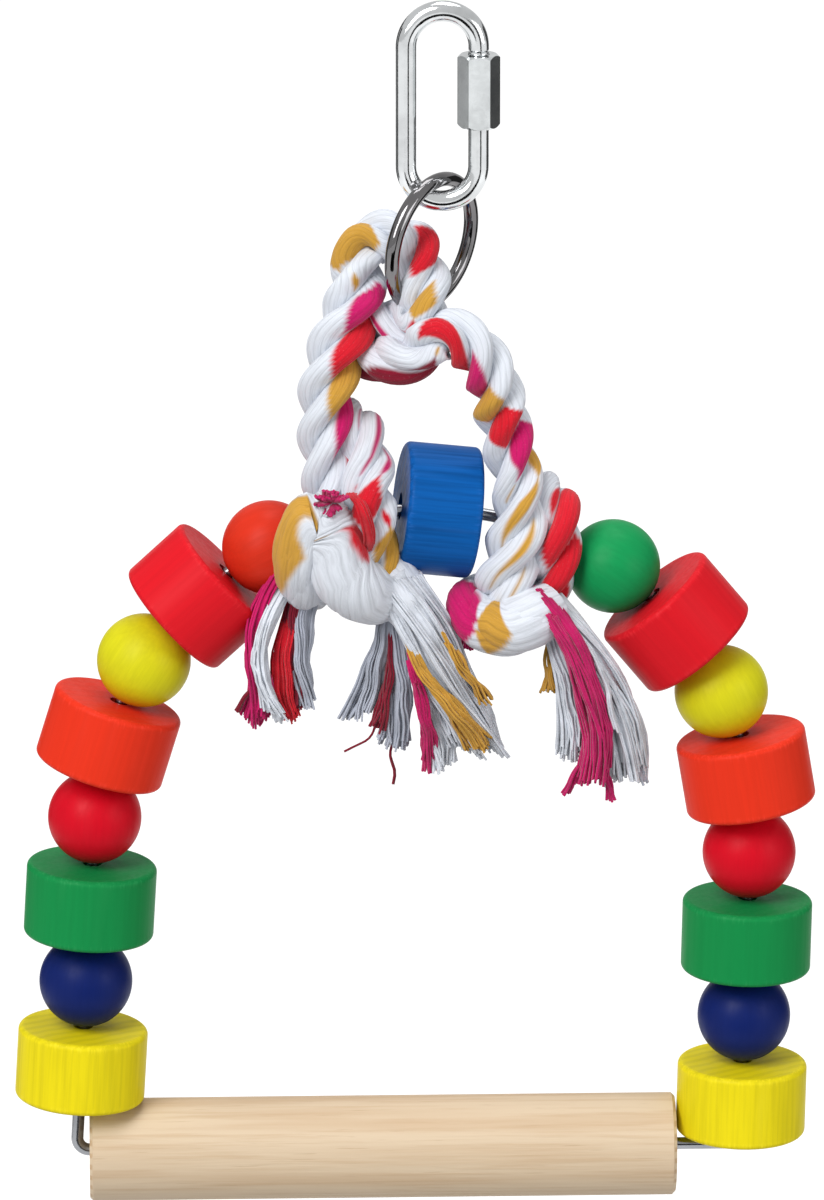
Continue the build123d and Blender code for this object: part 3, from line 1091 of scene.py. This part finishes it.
@dataclass
class FrayedTail:
    """A cut and frayed rope end made of locks, each lock of small wisps of yarn.

    Attributes:
        wisp, wisp_radius: how many yarns keep together, and how far they part in millimetres.
        core_share, core_reach: the heart's shares of a lock's radius and length.
        crimp, crimp_length: the height and the length of a yarn's waves, in millimetres.
        ragged, uneven: shares of the length by which a lock's wisps, and a wisp's yarns, may end early.
        flat: a lock's depth as a share of its width.
        shake: how far a yarn's points are lifted or lowered, in millimetres.
    """

    name: str
    node: str
    locks: tuple[Lock, ...]
    seed: int
    yarn_radius: float = 0.32 * MM
    wisp: int = 6
    wisp_radius: float = 0.9
    core_share: float = 0.66
    core_reach: float = 0.88
    crimp: float = 0.75
    crimp_length: float = 11.0
    ragged: float = 0.1
    uneven: float = 0.04
    lean: tuple[float, float] = (0.75, 1.2)
    flat: float = 0.8
    shake: float = 0.15
    knots: int = 7

    def build(self) -> Object:
        """Lay the tail's yarns.

        Returns:
            The tail as one piece.
        """
        draw = random.Random(self.seed)
        dyes = sorted({lock.dye for lock in self.locks}, key=lambda dye: dye.name)
        materials = [FrayedCotton(dye).make() for dye in dyes]
        yarns = self.start_curve(0, materials)
        cores = self.start_curve(2, materials)
        for lock in self.locks:
            for _ in range(max(1, lock.yarns // self.wisp)):
                self.add_wisp(yarns, lock, dyes.index(lock.dye), draw)
            if lock.yarns > self.wisp and lock.stagger == 0:
                self.add_core(cores, lock, dyes.index(lock.dye))
        shape = bmesh.new()
        for data in (yarns, cores):
            part = curve_mesh(data)
            shape.from_mesh(part)
            bpy.data.meshes.remove(part)
        mesh = as_mesh(self.name, shape)
        for material in materials:
            mesh.materials.append(material)
        piece = add_piece(self.name, mesh, "swing_frame")
        if self.node:
            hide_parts(self.node)
        return piece

    def start_curve(self, sides: int, materials: list[Material]) -> Curve:
        """Return an empty curve whose splines become round yarns.

        Args:
            sides: how finely a yarn is rounded.
            materials: the yarns' materials.

        Returns:
            The curve.
        """
        data = bpy.data.curves.new(self.name, "CURVE")
        data.dimensions = "3D"
        data.resolution_u = 2
        data.bevel_depth = self.yarn_radius
        data.bevel_resolution = sides
        data.use_fill_caps = True
        for material in materials:
            data.materials.append(material)
        return data

    def add_core(self, data: Curve, lock: Lock, index: int) -> None:
        """Add the thick heart of a lock, which its outer yarns cover.

        Args:
            data: the curve to add to.
            lock: the lock.
            index: its material index.
        """
        shares = [step / (self.knots - 1) for step in range(self.knots)]
        spots = [lock.spot(self.core_reach * share * lock.length()) for share in shares]
        spline = add_spline(data, [[part * MM for part in spot] for spot in spots])
        spline.material_index = index
        for spot, share in zip(spline.points, shares):
            radius = lock.radius(share) * MM / self.yarn_radius
            spot.radius = radius * self.core_share * (1 - 0.6 * share**2)

    def add_wisp(self, data: Curve, lock: Lock, index: int, draw: random.Random) -> None:
        """Add a wisp of a lock: a few yarns that keep together and part at their ends.

        Args:
            data: the curve to add to.
            lock: the lock that the wisp belongs to.
            index: its material index.
            draw: the tail's random source.
        """
        length = lock.length()
        out = sqrt(draw.random())
        start = draw.uniform(0, tau)
        phase = draw.uniform(0, tau)
        reach = 1.0 - draw.random() * self.ragged
        begin = draw.random() * lock.stagger
        lean = draw.uniform(*self.lean)
        for _ in range(min(self.wisp, lock.yarns)):
            spread = sqrt(draw.random()) * self.wisp_radius
            turn = draw.uniform(0, tau)
            end = reach - draw.random() * self.uneven
            points = []
            for step in range(self.knots):
                share = begin + step / (self.knots - 1) * (end - begin)
                along = share * length
                x, y, z = lock.spot(along)
                width = out * lock.radius(share, lean)
                angle = start + radians(lock.twist) * share
                wave = self.crimp * sin(tau * along / self.crimp_length + phase)
                wave *= min(1.0, share * 2)
                flare = spread * (0.7 + 0.8 * share**3)
                x += width * cos(angle) + wave + flare * cos(turn)
                y += width * sin(angle) * self.flat + wave * 0.5 + flare * sin(turn)
                z += draw.uniform(-self.shake, self.shake)
                points.append((x * MM, y * MM, z * MM))
            add_spline(data, points).material_index = index


@dataclass
class Tassels:
    """The four frayed tails below the knots and the tuft on the left one, in millimetres."""

    # In every tail the grey locks are white yarn and the dark red locks are red yarn, darkened as painted
    # shade.
    left_front: tuple[Lock, ...] = (
        Lock(Yarn.WHITE, 420, 6.4, 9.2, [
            (-12, -12, -132), (-6.5, -13.5, -141), (-1.6, -14, -154), (3.7, -13.5, -166), (7, -13, -177),
        ]),
        Lock(Yarn.WHITE, 120, 3.0, 3.8, [(-6, -12, -148), (-4, -14, -160), (-1, -15, -170), (0, -14, -181)]),
        Lock(Yarn.MUSTARD, 110, 0.8, 3.4, [
            (-9, -14, -145), (-6.5, -20.5, -152.5), (-1, -22.5, -159), (4, -22.5, -165), (9.5, -21, -174),
        ], stagger=0.45),
        Lock(Yarn.MUSTARD, 24, 0.5, 1.2, [
            (-2, -15, -141), (1, -20.5, -147.5), (5.5, -21.5, -154.5), (10.5, -20, -162.5),
        ], stagger=0.5),
        Lock(Yarn.MAGENTA, 60, 0.8, 1.8, [
            (-9, -13, -150), (-6.8, -20, -157), (-4.8, -20.5, -166), (-4, -18, -173), (-4, -15, -181),
        ], stagger=0.45),
        Lock(Yarn.GREY, 120, 2.8, 3.8, [
            (-12, -9, -141), (-14, -10, -151), (-17.5, -11, -161), (-21, -10, -169),
        ]),
        Lock(Yarn.DARK_RED, 54, 1.4, 1.8, [
            (-12, -9, -144), (-12, -12, -155), (-14, -14, -164), (-16, -13, -171),
        ]),
        Lock(Yarn.GREY, 120, 2.6, 3.4, [
            (-11, -9, -145), (-10.5, -12, -158), (-11, -13, -168), (-12, -13, -176),
        ]),
        Lock(Yarn.DARK_RED, 1, 0.2, 0.3, [(-14, -12, -165), (-18, -13, -173), (-25, -13, -177)]),
        Lock(Yarn.DARK_RED, 2, 0.3, 0.4, [(-12, -13, -168), (-12.5, -14, -177), (-12, -13, -185)]),
    )
    left_rear: tuple[Lock, ...] = (
        Lock(Yarn.MAGENTA, 100, 2.4, 3.2, [
            (-36, -8, -129), (-43, -11, -138), (-46, -13, -149), (-43, -14, -161), (-45, -13, -170),
        ]),
        Lock(Yarn.WHITE, 72, 2.2, 2.0, [
            (-34, -9, -131), (-40, -13, -139), (-45, -17, -151), (-42, -18, -161), (-39, -16, -168),
        ]),
        Lock(Yarn.RED, 72, 1.8, 2.8, [
            (-35, -8, -138), (-38, -11, -148), (-39.5, -14, -158), (-38, -13, -169),
        ]),
        Lock(Yarn.DARK_RED, 72, 2.2, 2.6, [
            (-34, -8, -133), (-37, -10, -145), (-37, -11, -157), (-36, -12, -167),
        ]),
        Lock(Yarn.GREY, 120, 2.8, 3.2, [
            (-31, -7, -134), (-34, -9, -144), (-35, -11, -155), (-33, -11, -166),
        ]),
        Lock(Yarn.DARK_RED, 5, 0.5, 0.8, [(-44, -13, -157), (-48, -14, -163), (-51, -14, -166)]),
    )
    right_front: tuple[Lock, ...] = (
        Lock(Yarn.WHITE, 240, 4.4, 4.8, [
            (24, -10, -138), (33, -12, -148), (41, -12, -163), (43.5, -11, -174), (43, -10, -186),
        ]),
        Lock(Yarn.MAGENTA, 190, 2.8, 3.2, [
            (21, -15, -135), (26.5, -19, -140), (32, -19, -151), (35, -18, -162), (37, -17, -173),
            (35, -16, -185),
        ], stagger=0.18),
        Lock(Yarn.WHITE, 130, 2.8, 3.4, [
            (25, -10, -142), (29, -13, -156), (30.5, -14, -168), (30, -13, -179),
        ]),
        Lock(Yarn.WHITE, 15, 0.5, 0.8, [(28, -18, -141), (37, -19, -152), (40, -18, -164), (41, -16, -172)]),
        Lock(Yarn.GREY, 140, 3.4, 4.6, [(26, -8, -143), (36, -8, -158), (42, -8, -172), (44, -8, -186)]),
        Lock(Yarn.MUSTARD, 36, 1.6, 1.8, [(26.5, -8, -148), (26, -9, -156), (25.5, -10, -163)], 0),
        Lock(Yarn.MAGENTA, 10, 0.6, 1.2, [(36, -15, -174), (39, -15, -183), (42, -15, -190)]),
        Lock(Yarn.MAGENTA, 10, 0.6, 1.2, [(36, -15, -174), (32, -15, -182), (28, -15, -187)]),
    )
    right_rear: tuple[Lock, ...] = (
        Lock(Yarn.GREY, 130, 2.8, 3.2, [(14, 5, -138), (8, 6, -143), (3, 6.5, -155)]),
        Lock(Yarn.MAGENTA, 72, 1.8, 2.0, [(14, 3, -139), (9, 4, -146), (6.5, 4, -156)]),
    )
    red_loop: list[Point] = field(default_factory=lambda: [
        (-22.5, -13, -111), (-20.3, -22.5, -111), (-18.4, -24, -115), (-17.8, -22.5, -120.5),
        (-18, -13, -127),
    ])
    tuft_x: float = -27.4
    tuft_z: float = -111.5
    tuft_tips: tuple[tuple[Yarn, float, float], ...] = (
        (Yarn.MAGENTA, -0.9, 2.6),
        (Yarn.MAGENTA, 0.2, 3.6),
        (Yarn.MAGENTA, 1.1, 2.2),
        (Yarn.MAGENTA, 0.8, -1.2),
        (Yarn.MAGENTA, -0.3, -2.4),
        (Yarn.MAGENTA, -1.1, 0.4),
        (Yarn.WHITE, -1.2, -3.0),
        (Yarn.WHITE, -0.4, -4.8),
    )

    def build(self) -> list[Object]:
        """Build the tails and the tuft.

        Returns:
            Their pieces.
        """
        tails = [
            FrayedTail("left_front_tail", "tassel_left_front", self.left_front, 11),
            FrayedTail("left_rear_tail", "tassel_left_rear", self.left_rear, 23),
            FrayedTail("right_front_tail", "tassel_right_front", self.right_front, 37),
            FrayedTail("right_rear_tail", "tassel_right_rear", self.right_rear, 41),
            FrayedTail("left_knot_tuft", "", self.tuft(), 53, 0.42 * MM, crimp=0.2),
        ]
        return [tail.build() for tail in tails]

    def tuft(self) -> tuple[Lock, ...]:
        """Lay out the tuft on the left knot.

        Returns:
            The red loop and the small locks beside it.
        """
        locks = [Lock(Yarn.RED, 48, 0.9, 0.9, self.red_loop)]
        for dye, x, z in self.tuft_tips:
            root = (self.tuft_x, -18, self.tuft_z - 0.5)
            bend = (self.tuft_x + x, -23.5, self.tuft_z + 0.5 * z)
            tip = (self.tuft_x + 2 * x, -24.5, self.tuft_z + z)
            locks.append(Lock(dye, 36, 1.3, 1.4, [root, bend, tip], 0))
        return tuple(locks)


def main() -> None:
    """Build the swing's looks in order and report each piece."""
    logging.basicConfig(level=logging.INFO, format="%(message)s")
    Studio().build()
    rope = HitchedRope()
    rope.build()
    tails = Tassels().build()
    LinkAndRing().build()
    BeadStrings().build()
    PerchDowel().build()


if __name__ == "__main__":
    main()
